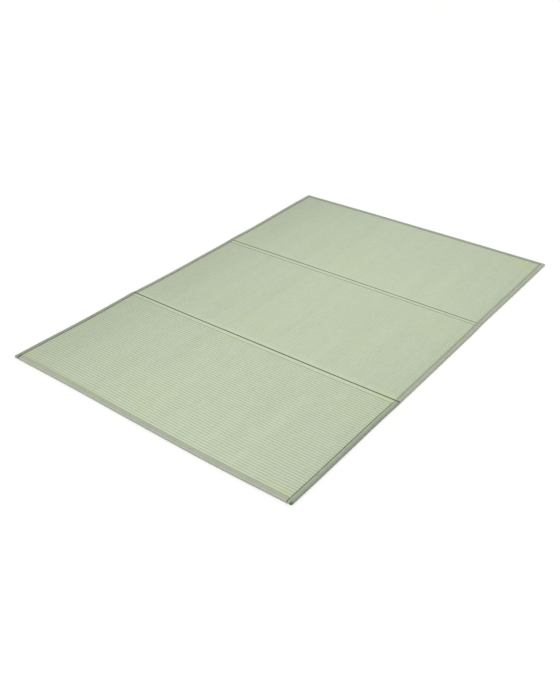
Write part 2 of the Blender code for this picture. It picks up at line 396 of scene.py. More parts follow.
# a woven piece: the solid it stands for, the half thickness of its open face, how strongly the
# painted shade shows in its valleys, the seed of its noises, and its edges toward the near and
# the far end
Woven = namedtuple("Woven", "name node section half boldness seed near far")
WOVEN = (
    Woven("rush_panel_near", "panel_near", BEFORE_FOLD, MIDDLE, 1.0, 11,
          BoundEdge(NEAR_END.y, 1, TAPES["end_near"], 0, 1.035),
          FoldedEdge(FOLD.y - HALF_GAP, -1, 0.0225, 1.60, 0.55, 0.08, 1.01)),
    Woven("rush_panel_middle", "panel_middle", AFTER_FOLD, MIDDLE, 0.4, 23,
          FoldedEdge(FOLD.y + HALF_GAP, 1, 0.028, 1.50, 0.10, 0.04, 0.985),
          FoldedEdge(SPINE_NEAR.y - HALF_GAP, -1, 0.007, 0.95, 0, 0, 0.975)),
    Woven("rush_spine", "fold_spine", AFTER_FOLD, SPINE_HALF, 0.4, 31,
          FoldedEdge(SPINE_NEAR.y + HALF_GAP, 1, 0.007, 0.95, 0, 0, 1.0),
          FoldedEdge(SPINE_FAR.y - HALF_GAP, -1, 0.007, 1.25, 0, 0, 1.0)),
    Woven("rush_panel_far", "panel_far", AFTER_FOLD, MIDDLE, 0.4, 47,
          FoldedEdge(SPINE_FAR.y + HALF_GAP, 1, 0.007, 1.25, 0, 0, 1.0),
          BoundEdge(FAR_END.y, -1, TAPES["end_far"], 0.22, 0.915)),
)

# spots where the rush has dried yellow, with their reach across and along the mat
StrawSpot = namedtuple("StrawSpot", "x y across along amount")
STRAW_SPOTS = (
    StrawSpot(0.655, -0.362, 0.045, 0.014, 0.45),
    StrawSpot(0.640, -0.332, 0.065, 0.014, 0.45),
    StrawSpot(0.652, -0.974, 0.028, 0.012, 0.40),
    StrawSpot(0.600, -0.980, 0.040, 0.009, 0.30),
    StrawSpot(-0.666, -0.962, 0.018, 0.018, 0.60),
    StrawSpot(-0.448, -0.980, 0.030, 0.008, 0.45),
    StrawSpot(-0.300, -0.980, 0.220, 0.007, 0.20),
    StrawSpot(-0.660, -0.390, 0.020, 0.020, 0.30),
    StrawSpot(-0.650, 0.350, 0.030, 0.020, 0.25),
    StrawSpot(0.625, 0.942, 0.030, 0.035, 0.35),
)


def lip_of(tape):
    """How far a binding's lip is from the mat's edge."""
    return bpy.context.scene.tatami_sizes.binding_width - tape.narrower


def under_lip(distance, lip):
    """1 under a binding and 0 past its lip."""
    return smooth_step((lip - distance) / LIP_SHADOW)


def openness(distance, lip):
    """0 where a binding holds the panel and in the slot along its lip, 1 on the open face."""
    return smooth_step((distance - lip - SLOT_WIDTH) / SWELL)


def held_half(distance, lip):
    """Half thickness of a panel at a distance from a bound edge."""
    held = np.interp(distance, (lip - PINCH_START, lip - PINCH_END), (GRIP_HALF, SLOT_HALF))
    return held + (MIDDLE - held) * openness(distance, lip)


def bound_marks(lip):
    """Places of the lines between a bound edge and the open face, in from the edge."""
    rise = [lip + SLOT_WIDTH + SWELL * share for share in (0, 0.25, 0.5, 0.75, 1)]
    return [GRIP_MARK, lip - PINCH_START, lip - PINCH_END] + rise


def edge_lines(edge):
    """Grid lines of a woven piece at one of its edges: its rounded rim and its marks."""
    if isinstance(edge, BoundEdge):
        rim, marks = bound_edge(edge.y, edge.inward, GRIP_HALF), bound_marks(lip_of(edge.tape))
    else:
        rim = rounded(edge.y, edge.inward, FOLD_REACH, pull=edge.inward)
        marks = [edge.hem + HEM_GROOVE_WIDTH * step for step in HEM_STEPS]
        marks = [mark for mark in marks if mark > 2 * FOLD_REACH]
    return rim, [edge.y + edge.inward * mark for mark in marks]


def rib_margin(edge):
    """From a woven piece's edge to where its ribs begin."""
    return lip_of(edge.tape) + RIB_START if isinstance(edge, BoundEdge) else edge.hem


def rib_grid(near, far):
    """Where the ribs of a woven piece start and end, how many there are, and their pitch."""
    start, end = near.y + rib_margin(near), far.y - rib_margin(far)
    count = max(1, round((end - start) / bpy.context.scene.tatami_sizes.rib_pitch))
    return start, end, count, (end - start) / count


def woven_rows(near, far):
    """Grid lines along a woven piece."""
    start, end, count, pitch = rib_grid(near, far)
    places = [start + pitch * (rib + phase) for rib in range(count) for phase in RIB_PHASES]
    near_rim, near_marks = edge_lines(near)
    far_rim, far_marks = edge_lines(far)
    rows = []
    for place in sorted(places + [end] + near_marks + far_marks):
        if not rows or place - rows[-1] > CLOSEST_LINES:
            rows.append(place)
    return near_rim + plain(rows) + far_rim[::-1]


def woven_columns(left, right):
    """Grid lines across the mat: both gripped edges and the open face between them."""
    left_marks, right_marks = bound_marks(lip_of(left)), bound_marks(lip_of(right))
    low, high = left_marks[-1] - HALF_WIDTH, HALF_WIDTH - right_marks[-1]
    face = np.linspace(low, high, bpy.context.scene.tatami_sizes.columns)[1:-1]
    places = [mark - HALF_WIDTH for mark in left_marks]
    places += face.tolist()
    places += [HALF_WIDTH - mark for mark in right_marks[::-1]]
    left_rim, right_rim = (bound_edge(-side * HALF_WIDTH, side, GRIP_HALF) for side in (1, -1))
    return left_rim + plain(places) + right_rim[::-1]


def rib_shape(along):
    """Height of the weave from 0 in a valley to 1 on a crest; along counts ribs."""
    share = along - np.floor(along)
    return np.clip(1 - (2 * share - 1) ** 2, 0, 1) ** 0.6


def hold_sides(x, sides, full):
    """Half thickness, openness and painted shade across a panel that its side bindings hold:
    shade in the slot along each lip and under each binding.
    """
    half, open_face, painted_shade = full, 1.0, 0.0
    for tape, distance in zip(sides, (HALF_WIDTH + x, HALF_WIDTH - x)):
        lip = lip_of(tape)
        half = np.minimum(half, held_half(distance, lip))
        clear = openness(distance, lip)
        dark = np.maximum(tape.slot * (1 - clear), under_lip(distance, lip))
        open_face, painted_shade = open_face * clear, np.maximum(painted_shade, dark)
    return half, open_face, painted_shade


def hold_end(edge, into, half, open_face, painted_shade):
    """The same three at a distance into the piece from an end binding, with painted shade also on
    the strip beside it.
    """
    lip = lip_of(edge.tape)
    clear = openness(into, lip)
    beside = smooth_step(1 - (into - lip) / STRIP_REACH)
    dark = np.maximum(edge.tape.slot * (1 - clear), edge.strip * beside)
    painted_shade = np.maximum(painted_shade, np.maximum(dark, under_lip(into, lip)))
    return np.minimum(half, held_half(into, lip)), open_face * clear, painted_shade


def fold_edge(edge, into, painted_shade, groove, tone):
    """Painted shade, groove and tone at a distance into the piece from a folded and hemmed edge:
    shade down the fold and in the sewn line, and painted light that makes the hem paler.
    """
    painted_shade = painted_shade * (1 - smooth_step(1 - into / FOLD_FADE))
    dark = np.clip(FOLD_DARK * edge.shade - into / FOLD_REACH / FOLD_DARK_REACH, 0, 1)
    sewn = np.exp(-((into - edge.hem) / HEM_GROOVE_WIDTH) ** 2)
    painted_shade = np.maximum(np.maximum(painted_shade, dark), edge.seam * sewn)
    tone = tone * (1 + edge.pale * smooth_step((edge.hem - into) / HEM_GROOVE_WIDTH))
    return painted_shade, groove + HEM_GROOVE * sewn, tone


def lay_ribs(x, y, woven):
    """Ribs counted along the piece, how fully they stand, and where the first is pressed flat."""
    start, end, _, pitch = rib_grid(woven.near, woven.far)
    wander = noise(x, y, WANDER, woven.seed) + noise(x, y, WANDER_FINE, woven.seed)
    along = (y + wander - start) / pitch
    ribbed = smooth_step((y - start) / pitch * 2) * smooth_step((end - y) / pitch * 2)
    pressed = np.zeros_like(y)
    if isinstance(woven.near, BoundEdge):
        pressed = smooth_step((-x - PRESSED_FROM) / PRESSED_OVER)
        pressed = pressed * smooth_step(PRESSED_RIBS - along)
    return along, ribbed * (1 - pressed), pressed


def straw_at(x, y):
    """How far the rush has dried yellow."""
    return sum(spot.amount * np.exp(-((x - spot.x) / spot.across) ** 2
                                    - ((y - spot.y) / spot.along) ** 2) for spot in STRAW_SPOTS)


def weave(woven, material):
    """One woven piece between two lines across the mat, with real ribs on both faces."""
    sizes = bpy.context.scene.tatami_sizes
    near, far, seed = woven.near, woven.far, woven.seed
    sides = SIDE_TAPES[:2] if woven.section is BEFORE_FOLD else SIDE_TAPES[2:]
    base_x, _, lift_x = parts_of(woven_columns(*sides))
    base_y, pull_y, lift_y = parts_of(woven_rows(near, far))
    x = base_x[:, None]
    half, open_face, painted_shade = hold_sides(x, sides, woven.half)
    y = base_y + pull_y * UNDER_BINDING * (1 - open_face)
    x = x + np.zeros_like(y)
    groove = np.zeros_like(y)
    tone = near.tone + (far.tone - near.tone) * np.clip((y - near.y) / (far.y - near.y), 0, 1)
    tone = tone * (1 - SIDE_FADE * (x - SIDE_FADE_FROM) ** 2)
    for edge in (near, far):
        into = np.abs(y - edge.y)
        if isinstance(edge, BoundEdge):
            half, open_face, painted_shade = hold_end(edge, into, half, open_face, painted_shade)
        else:
            painted_shade, groove, tone = fold_edge(edge, into, painted_shade, groove, tone)

    along, ribbed, pressed = lay_ribs(x, y, woven)
    own_row = np.floor(along) * RIB_NOISE_STEP
    strength = 1 + noise(x, own_row, RIB_STRENGTH, seed)
    relief = np.minimum(ribbed * rib_shape(along) * strength + HEM_LEVEL * (1 - ribbed), 1)
    wave = sizes.unevenness * noise(x, y, WAVE, seed)
    face = half + open_face * (sizes.rib_height * (relief - 1) + wave - groove)
    back = half + open_face * sizes.rib_height * BACK_RELIEF * (relief - 1)
    # rounded edges: the held part is a smaller round inside its binding
    taper = np.minimum(lift_x[:, None], lift_y)
    flat_x, flat_y = lie(x, y, woven.section, sizes.corner)
    top = np.stack([flat_x, flat_y, MIDDLE + face * taper], 2).reshape(-1, 3)
    bottom = np.stack([flat_x, flat_y, MIDDLE - back * taper], 2).reshape(-1, 3)

    varied = noise(x, y, VALLEY_SHADE_NOISE, seed) + noise(x, own_row, RIB_SHADE_NOISE, seed)
    # the first value is painted shade in slots, folds, under the bindings and beside them; ribbed
    # is how much painted shade lies in the valleys; tone is the rush's tone, with painted light
    # on the hems
    values = {
        "painted_shade": np.maximum(painted_shade, PRESSED_SHADE * pressed),
        "ribbed": woven.boldness * ribbed * (1 + varied),
        "tone": tone,
        "straw": straw_at(x, y),
    }
    uv = np.stack([x, along], 2).reshape(-1, 2)
    piece = add_piece(woven.name, np.concatenate([top, bottom]), box_faces(*x.shape), material,
                      np.concatenate([uv, uv]),
                      {label: np.stack([value, value]) for label, value in values.items()})
    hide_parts(woven.node)
    return piece


# ---- binding cloth ---------------------------------------------------------------------------
# how the upper leg of a binding rises and falls, from its rounded edge to its folded lip
LegShape = namedtuple("LegShape", "share rise")
LEG = (
    LegShape(0.23, 0.0),
    LegShape(0.38, 0.00030),
    LegShape(0.60, 0.00025),
    LegShape(0.93, 0.00012),
    LegShape(0.975, -0.00010),
    LegShape(1.0, -0.00050),
)
SEAM_DEPTH = 0.0007          # the stitches pull the cloth down by this much
SEAM_WIDTH = 0.0011
SEAM_STEPS = (-1.8, -0.9, 0, 0.9, 1.8)
TAPE_STEP = 0.006
FOLD_END_GAP = 0.0007        # a side binding's end stops this far short of the fold
CREASE_DEPTH = 0.0009        # where a side binding passes over the spine's two seams
CREASE_WIDTH = 0.0016
# painted shade in those creases
CREASE_SHADE = 0.30
FOLD_END_SHADE = 0.85        # painted shade: the cloth is drawn this much darker down into the fold, fully once it has rounded down by this share
FOLD_END_FADE = 0.35         # fully once it has rounded down by this share
LIP_TONE_START = 0.45        # the lip's own colour and its painted light begin at this share of the width
LIP_TONE_REACH = 0.25        # and is reached over this share
LIP_KEEPS_DYE = 0.75         # the lip has faded less than the outer part by this share
CORNER_REACH = 0.0070        # painted shade at a folded corner reaches over this way
PUCKER = Noise(0.6, 0.012, 0)            # the sewing draws some stretches up more than others
RUMPLE = Noise(0.00015, 0.035, 1)        # and the cloth rises and falls a little along them


def leg_rise(distance, tape):
    """How far the upper leg stands above or below the flat, at a distance from the edge."""
    width = lip_of(tape)
    rise = np.interp(distance / width, [row.share for row in LEG], [row.rise for row in LEG])
    return rise - SEAM_DEPTH * np.exp(-((distance - tape.seam * width) / SEAM_WIDTH) ** 2)


def leg_lines(edge, inward, radius, tape):
    """Grid lines across one layer of a binding, from its rounded edge to its lip."""
    width = lip_of(tape)
    marks = [row.share * width for row in LEG[1:]
             if abs(row.share - tape.seam) * width > 2.2 * SEAM_WIDTH]
    marks += [tape.seam * width + step * SEAM_WIDTH for step in SEAM_STEPS]
    places = [edge + inward * mark for mark in sorted(marks)]
    return bound_edge(edge, inward, radius) + plain(places)


def run_lines(low, high, creases=()):
    """Grid lines along a binding, closer together at its creases."""
    count = max(2, round((high - low) / TAPE_STEP))
    places = set(np.linspace(low, high, count + 1)[1:-1].tolist())
    for crease in creases:
        places = {place for place in places if abs(place - crease) > 2.5 * CREASE_WIDTH}
        places |= {crease + CREASE_WIDTH * step for step in (-2, -1.2, -0.6, 0, 0.6, 1.2, 2)}
    return plain(sorted(places))


def cloth_rise(x, y, tape, distance, creases, seed):
    """How far the outside of a binding stands off its plain fold."""
    rise = leg_rise(distance, tape) * (1 + noise(x, y, PUCKER, seed))
    rise = rise + noise(x, y, RUMPLE, seed)
    for crease in creases:
        rise = rise - CREASE_DEPTH * np.exp(-((y - crease) / CREASE_WIDTH) ** 2)
    return rise


def cloth_tones(y, tape, distance, down_fold, creases):
    """Painted light and shade on the cloth's four surfaces, how near its lip, and how faded."""
    lip = smooth_step((distance / lip_of(tape) - LIP_TONE_START) / LIP_TONE_REACH)
    shade_factor = 1 - FOLD_END_SHADE * np.clip(down_fold / FOLD_END_FADE, 0, 1)
    for crease in creases:
        shade_factor = shade_factor * (1 - CREASE_SHADE * np.exp(-((y - crease) / CREASE_WIDTH) ** 2))
    tip = np.hypot(distance, HALF_LENGTH - np.abs(y)) / CORNER_REACH
    shade_factor = shade_factor * (1 - tape.corner * np.exp(-tip * tip))
    above = (tape.outer + (tape.lip - tape.outer) * lip) * shade_factor
    below = tape.below * tape.outer * shade_factor
    faded = tape.faded * (1 - LIP_KEEPS_DYE * lip)
    return {"tone": np.stack([above, below, above, below]), "lip": np.stack([lip] * 4),
            "faded": np.stack([faded] * 4)}


def bind(tape, layout, edge_distance, missing, section, material, seed, creases=()):
    """Cloth folded round an edge: an outer and an inner surface joined along their rims.

    layout(radius) gives the columns and the rows of the surface that lies that far from the
    middle of the mat.
    """
    sizes = bpy.context.scene.tatami_sizes
    layers = []
    for outside in (True, False):
        radius = MIDDLE if outside else MIDDLE - sizes.cloth
        columns, rows = layout(radius)
        base_x, _, lift_x = parts_of(columns)
        base_y, fold_end, lift_y = parts_of(rows)
        x, y = np.meshgrid(base_x, base_y, indexing="ij")
        distance = edge_distance(x, y)
        upper = lower = radius * np.minimum(lift_x[:, None], lift_y)
        if outside:
            rise = cloth_rise(x, y, tape, distance, creases, seed)
            upper, lower = upper + rise, lower + np.minimum(rise, 0)
        flat_x, flat_y = lie(x, y, section, sizes.corner)
        layers += [np.stack([flat_x, flat_y, MIDDLE + half], 2).reshape(-1, 3)
                   for half in (upper, -lower)]
    outer = box_faces(*x.shape, missing)
    inner = outer[:, ::-1] + 2 * x.size
    rims = open_edges(outer)
    rims = np.concatenate([rims[:, ::-1], rims + 2 * x.size], 1)
    uv = np.stack([y if tape.side else x, distance], 2).reshape(-1, 2)
    under = uv * (1, -1)
    values = cloth_tones(y, tape, distance, fold_end * (1 - lift_y), creases)
    piece = add_piece(f"binding_{tape.label}", np.concatenate(layers),
                      np.concatenate([outer, inner, rims]), material,
                      np.concatenate([uv, under, uv, under]), values, sharp=50)
    node = f"side_binding_{tape.label}" if tape.side else tape.label.replace("end", "end_binding")
    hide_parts(node)
    return piece


STITCH_SIDES = 6
STITCH_DRIFT = 0.00012       # how far a stitch strays from its row
# how far the threads lie from the middle of the mat, above and below it
STITCH_HEIGHTS = {1: MIDDLE - 0.0003, -1: MIDDLE - 0.0006}
# a stitch along X: place and thickness of each ring as shares, height in thread radii
StitchRing = namedtuple("StitchRing", "place thickness height")
STITCH = (
    StitchRing(-0.50, 0.35, -0.9),
    StitchRing(-0.38, 0.85, -0.1),
    StitchRing(0.00, 1.00, 0.3),
    StitchRing(0.38, 0.85, -0.1),
    StitchRing(0.50, 0.35, -0.9),
)


def stitch_mesh(sizes):
    """Points and faces of one stitch, which dives into the cloth at both ends."""
    radius = sizes.stitch_width / 2
    points = []
    for ring in STITCH:
        for side in range(STITCH_SIDES):
            turn = 2 * pi * side / STITCH_SIDES
            points.append((ring.place * sizes.stitch_length,
                           cos(turn) * ring.thickness * radius,
                           (sin(turn) * ring.thickness + ring.height) * radius))
    faces = []
    for ring in range(len(STITCH) - 1):
        for side in range(STITCH_SIDES):
            a = ring * STITCH_SIDES + side
            b = ring * STITCH_SIDES + (side + 1) % STITCH_SIDES
            faces.append((a, b, b + STITCH_SIDES, a + STITCH_SIDES))
    return np.array(points), np.array(faces)


def sew(name, start, end, section, material, seed):
    """A row of joined stitches on a straight line of the true mat, above and below it."""
    sizes = bpy.context.scene.tatami_sizes
    shape, quads = stitch_mesh(sizes)
    first_cap = np.arange(STITCH_SIDES)[::-1]
    last_cap = np.arange(STITCH_SIDES) + (len(STITCH) - 1) * STITCH_SIDES
    start, end = np.array(start), np.array(end)
    length = np.linalg.norm(end - start)
    number = int(length / sizes.stitch_pitch)
    drift = np.random.default_rng(seed).normal(0, STITCH_DRIFT, (number, 2))
    middle = start + (end - start) * (np.arange(number)[:, None] + 0.5) / number + drift
    step = (end - start) / length * sizes.stitch_length / 2
    low = np.stack(lie(*(middle - step).T, section, sizes.corner), 1)
    high = np.stack(lie(*(middle + step).T, section, sizes.corner), 1)
    ahead = (high - low) / np.linalg.norm(high - low, axis=1)[:, None]
    aside = np.stack([-ahead[:, 1], ahead[:, 0]], 1)
    centre = (low + high) / 2
    along, across, up = shape.T
    points, faces = [], []
    for side, height in STITCH_HEIGHTS.items():
        plan = (centre[:, None] + ahead[:, None] * along[:, None]
                + side * aside[:, None] * across[:, None])
        z = np.broadcast_to(MIDDLE + side * (height + up), plan.shape[:2])
        base = sum(len(group) for group in points)
        points.append(np.concatenate([plan, z[..., None]], 2).reshape(-1, 3))
        for stitch in range(number):
            offset = base + stitch * len(shape)
            faces += (quads + offset).tolist()
            faces += [(first_cap + offset).tolist(), (last_cap + offset).tolist()]
    return add_piece(name, np.concatenate(points), np.array(faces, dtype=object), material)


# ---- materials -------------------------------------------------------------------------------
def add_node(tree, kind, inputs=(), **settings):
    """Add a node with its settings; inputs maps sockets to values or to sockets to link."""
    node = tree.nodes.new(kind)
    for name, value in settings.items():
        setattr(node, name, value)
    for key, value in dict(inputs).items():
        if isinstance(value, bpy.types.NodeSocket):
            tree.links.new(value, node.inputs[key])
        else:
            node.inputs[key].default_value = value
    return node


def new_material(name, roughness, **values):
    """A Principled material with its constant values on the shader's own sockets."""
    material = bpy.data.materials.new(name)
    material.use_nodes = True
    shader = material.node_tree.nodes["Principled BSDF"]
    shader.inputs["Roughness"].default_value = roughness
    for key, value in values.items():
        shader.inputs[key.replace("_", " ")].default_value = value
    return material, material.node_tree, shader


VALLEY_SHADE = 0.36          # colour left at the bottom of the weave's valleys: painted shade, with the hidden warp
STEM_SHADE = 0.93            # and painted shade between two rounded stems


# where a point lies in the weave: along the ribs, on which stem, whether its rib is an odd one,
# and how far up the round of its stem and of its rib
Stems = namedtuple("Stems", "along stem odd bulge crest")
# slow changes of tone: how fast from stem to stem and from rib to rib, and their detail
Grain = namedtuple("Grain", "by_stem by_rib detail")
STREAKS = Grain(0.61, 0.24, 2.0)
BUNDLES = Grain(0.035, 0.020, 3.0)
PATCHES = Grain(0.0065, 0.045, 2.0)


def lay_stems(tree, stem_width):
    """Divide the weave into its ribs and the seen lengths of its stems.

    Each stem shows over every second rib, so the seen lengths of neighbouring ribs are set
    half a step apart, like laid bricks.
    """
    place = add_node(tree, "ShaderNodeUVMap", uv_map="weave")
    split = add_node(tree, "ShaderNodeSeparateXYZ", {0: place.outputs[0]})
    across, along = split.outputs["X"], split.outputs["Y"]
    rib = add_node(tree, "ShaderNodeMath", {0: along}, operation="FLOOR")
    in_rib = add_node(tree, "ShaderNodeMath", {0: along}, operation="FRACT")
    odd = add_node(tree, "ShaderNodeMath", {0: rib.outputs[0], 1: 2.0},
                   operation="FLOORED_MODULO")
    half_step = add_node(tree, "ShaderNodeMath", {0: odd.outputs[0], 1: 0.5},
                         operation="MULTIPLY")
    count = add_node(tree, "ShaderNodeMath",
                     {0: across, 1: 0.5 / stem_width, 2: half_step.outputs[0]},
                     operation="MULTIPLY_ADD")
    stem = add_node(tree, "ShaderNodeMath", {0: count.outputs[0]}, operation="FLOOR")
    in_stem = add_node(tree, "ShaderNodeMath", {0: count.outputs[0]}, operation="FRACT")
    # rounded outlines of one seen length of a stem: 1 on its middle, 0 at its sides and ends
    rounds = []
    for share in (in_stem, in_rib):
        centred = add_node(tree, "ShaderNodeMath",
                           {0: share.outputs[0], 1: 2.0, 2: -1.0}, operation="MULTIPLY_ADD")
        squared = add_node(tree, "ShaderNodeMath",
                           {0: centred.outputs[0], 1: centred.outputs[0]}, operation="MULTIPLY")
        rounds.append(add_node(tree, "ShaderNodeMath", {0: 1.0, 1: squared.outputs[0]},
                               operation="SUBTRACT").outputs[0])
    return Stems(along, stem.outputs[0], odd.outputs[0], *rounds)


def rush_colour(tree, stems, stem_tone, colours):
    """Darker and paler stems in streaks and bundles, and patches that have dried yellow."""
    grains = []
    for grain in (STREAKS, BUNDLES, PATCHES):
        spread = add_node(tree, "ShaderNodeCombineXYZ", {
            0: add_node(tree, "ShaderNodeMath", {0: stems.stem, 1: grain.by_stem},
                        operation="MULTIPLY").outputs[0],
            1: add_node(tree, "ShaderNodeMath", {0: stems.along, 1: grain.by_rib},
                        operation="MULTIPLY").outputs[0],
        })
        grains.append(add_node(tree, "ShaderNodeTexNoise",
                               {"Vector": spread.outputs[0], "Scale": 1.0,
                                "Detail": grain.detail}, noise_dimensions="2D").outputs["Fac"])
    streak, bundle, patch = grains
    tone = add_node(tree, "ShaderNodeMath", {0: stem_tone, 1: 0.06, 2: 0.32},
                    operation="MULTIPLY_ADD")
    for part, weight in ((streak, 0.18), (bundle, 0.12)):
        tone = add_node(tree, "ShaderNodeMath", {0: part, 1: weight, 2: tone.outputs[0]},
                        operation="MULTIPLY_ADD")
    ramp = add_node(tree, "ShaderNodeValToRGB", {"Fac": tone.outputs[0]})
    stops = ramp.color_ramp.elements
    stops[0].position, stops[0].color = 0.22, (*colours.rush_dark, 1)
    stops[1].position, stops[1].color = 0.80, (*colours.rush_pale, 1)
    stops.new(0.50).color = (*colours.rush, 1)
    yellow = add_node(tree, "ShaderNodeMapRange",
                      {"Value": patch, "From Min": 0.55, "From Max": 0.80, "To Max": 0.20})
    dried = add_node(tree, "ShaderNodeAttribute", attribute_name="straw")
    yellow = add_node(tree, "ShaderNodeMath", {0: yellow.outputs[0], 1: dried.outputs["Fac"]})
    mixed = add_node(tree, "ShaderNodeMix",
                     {"Factor": yellow.outputs[0], "A": ramp.outputs["Color"],
                      "B": (*colours.straw, 1)}, data_type="RGBA")
    return mixed.outputs["Result"]


def shade_rush(tree, stems, colour, colours):
    """Painted shade in the valleys between the ribs (with the hidden warp there), at the sides of
    the rounded stems, and down in slots and folds.
    """
    valley = add_node(tree, "ShaderNodeMapRange",
                      {"Value": stems.crest, "From Max": 0.45, "To Min": VALLEY_SHADE})
    # how much of the valleys' painted shade shows
    ribbed = add_node(tree, "ShaderNodeAttribute", attribute_name="ribbed")
    shade = add_node(tree, "ShaderNodeMix",
                     {"Factor": ribbed.outputs["Fac"], "A": 1.0, "B": valley.outputs[0]})
    stem_shade = add_node(tree, "ShaderNodeMapRange",
                          {"Value": stems.bulge, "To Min": STEM_SHADE})
    # tone: the rush's tone, with painted light on the hems
    tone = add_node(tree, "ShaderNodeAttribute", attribute_name="tone")
    for part in (stem_shade.outputs[0], tone.outputs["Fac"]):
        shade = add_node(tree, "ShaderNodeMath", {0: shade.outputs[0], 1: part},
                         operation="MULTIPLY")
    painted = add_node(tree, "ShaderNodeMix",
                       {"Factor": 1.0, "A": colour, "B": shade.outputs[0]},
                       data_type="RGBA", blend_type="MULTIPLY")
    # painted shade: the rush is drawn toward the shade colour in slots, folds and by the bindings
    painted_shade = add_node(tree, "ShaderNodeAttribute", attribute_name="painted_shade")
    painted = add_node(tree, "ShaderNodeMix",
                       {"Factor": painted_shade.outputs["Fac"], "A": painted.outputs["Result"],
                        "B": (*colours.shade_colour, 1)}, data_type="RGBA")
    return painted.outputs["Result"]


def woven_rush():
    """Igusa rush, mud-dyed, dried and woven flat: dry and fibrous with a faint waxy sheen.

    The warp lies hidden in the valleys.
    """
    sizes, colours = bpy.context.scene.tatami_sizes, bpy.context.scene.tatami_colours
    material, tree, shader = new_material("rush_woven_dried", 0.55)
    stems = lay_stems(tree, sizes.stem_width)
    own = add_node(tree, "ShaderNodeCombineXYZ", {0: stems.stem, 1: stems.odd})
    stem_tone = add_node(tree, "ShaderNodeTexWhiteNoise", {"Vector": own.outputs[0]},
                         noise_dimensions="2D").outputs["Value"]
    colour = rush_colour(tree, stems, stem_tone, colours)
    tree.links.new(shade_rush(tree, stems, colour, colours), shader.inputs["Base Color"])
    gloss = add_node(tree, "ShaderNodeMapRange",
                     {"Value": stem_tone, "To Min": 0.48, "To Max": 0.66})
    tree.links.new(gloss.outputs[0], shader.inputs["Roughness"])
    height = add_node(tree, "ShaderNodeMath", {0: stems.bulge, 1: stems.crest},
                      operation="MULTIPLY")
    bump = add_node(tree, "ShaderNodeBump",
                    {"Strength": 0.7, "Distance": 0.0005, "Height": height.outputs[0]})
    tree.links.new(bump.outputs[0], shader.inputs["Normal"])
    return material


CLOTH_LIGHT = 0.80           # the cloth's own lightness, under what varies it
MOTTLE = (60.0, 4.0)         # scale and detail of a mottle about 17 mm wide
BROAD = (11.0, 2.0)          # and of patches about 90 mm wide


def binding_cloth():
    """Cotton tape, closely woven and dyed: matt, soft at its folds, a little worn there.

    Its threads lie about 0.4 mm apart. They are drawn nearly three times as coarse, so that
    the weave shows.
    """
    sizes, colours = bpy.context.scene.tatami_sizes, bpy.context.scene.tatami_colours
    material, tree, shader = new_material("cotton_tape_woven_dyed", 0.88, Sheen_Weight=0.12,
                                          Sheen_Roughness=0.5)
    place = add_node(tree, "ShaderNodeUVMap", uv_map="weave")
    split = add_node(tree, "ShaderNodeSeparateXYZ", {0: place.outputs[0]})
    waves = []
    for axis in ("X", "Y"):
        turn = add_node(tree, "ShaderNodeMath",
                        {0: split.outputs[axis], 1: pi / sizes.thread_pitch},
                        operation="MULTIPLY")
        waves.append(add_node(tree, "ShaderNodeMath", {0: turn.outputs[0]}, operation="SINE"))
    weave_height = add_node(tree, "ShaderNodeMath",
                            {0: waves[0].outputs[0], 1: waves[1].outputs[0]},
                            operation="MULTIPLY")
    mottle, broad = (
        add_node(tree, "ShaderNodeTexNoise",
                 {"Vector": place.outputs[0], "Scale": scale, "Detail": detail},
                 noise_dimensions="2D").outputs["Fac"]
        for scale, detail in (MOTTLE, BROAD))
    light = CLOTH_LIGHT
    for part, share in ((mottle, 0.22), (broad, 0.18), (weave_height.outputs[0], 0.06)):
        light = add_node(tree, "ShaderNodeMath", {0: part, 1: share, 2: light},
                         operation="MULTIPLY_ADD").outputs[0]
    # tone: painted light and shade on each binding, from cloth_tones
    tone = add_node(tree, "ShaderNodeAttribute", attribute_name="tone")
    light = add_node(tree, "ShaderNodeMath", {0: light, 1: tone.outputs["Fac"]},
                     operation="MULTIPLY")
    lip = add_node(tree, "ShaderNodeAttribute", attribute_name="lip")
    dye = add_node(tree, "ShaderNodeMix",
                   {"Factor": lip.outputs["Fac"], "A": (*colours.binding, 1),
                    "B": (*colours.binding_lip, 1)}, data_type="RGBA")
    patches = add_node(tree, "ShaderNodeMapRange",
                       {"Value": broad, "From Min": 0.35, "From Max": 0.60})
    faded = add_node(tree, "ShaderNodeAttribute", attribute_name="faded")
    faded = add_node(tree, "ShaderNodeMath",
                     {0: patches.outputs[0], 1: faded.outputs["Fac"]}, operation="MULTIPLY")
    dye = add_node(tree, "ShaderNodeMix",
                   {"Factor": faded.outputs[0], "A": dye.outputs["Result"],
                    "B": (*colours.binding_faded, 1)}, data_type="RGBA")
    painted = add_node(tree, "ShaderNodeMix",
                       {"Factor": 1.0, "A": dye.outputs["Result"], "B": light.outputs[0]},
                       data_type="RGBA", blend_type="MULTIPLY")
    tree.links.new(painted.outputs["Result"], shader.inputs["Base Color"])
    bump = add_node(tree, "ShaderNodeBump",
                    {"Strength": 0.5, "Distance": 0.0002, "Height": weave_height.outputs[0]})
    tree.links.new(bump.outputs[0], shader.inputs["Normal"])
    return material


def sewing_thread():
    """Spun polyester thread: smoother than the cloth, with a fine twist along it."""
    colours = bpy.context.scene.tatami_colours
    material, tree, shader = new_material("thread_spun_polyester", 0.6)
    place = add_node(tree, "ShaderNodeTexCoord")
    twist = add_node(tree, "ShaderNodeTexNoise",
                     {"Vector": place.outputs["Object"], "Scale": 900.0, "Detail": 1.0})
    light = add_node(tree, "ShaderNodeMapRange",
                     {"Value": twist.outputs["Fac"], "To Min": 0.85, "To Max": 1.15})
    painted = add_node(tree, "ShaderNodeMix",
                       {"Factor": 1.0, "A": (*colours.thread, 1), "B": light.outputs[0]},
                       data_type="RGBA", blend_type="MULTIPLY")
    tree.links.new(painted.outputs["Result"], shader.inputs["Base Color"])
    return material


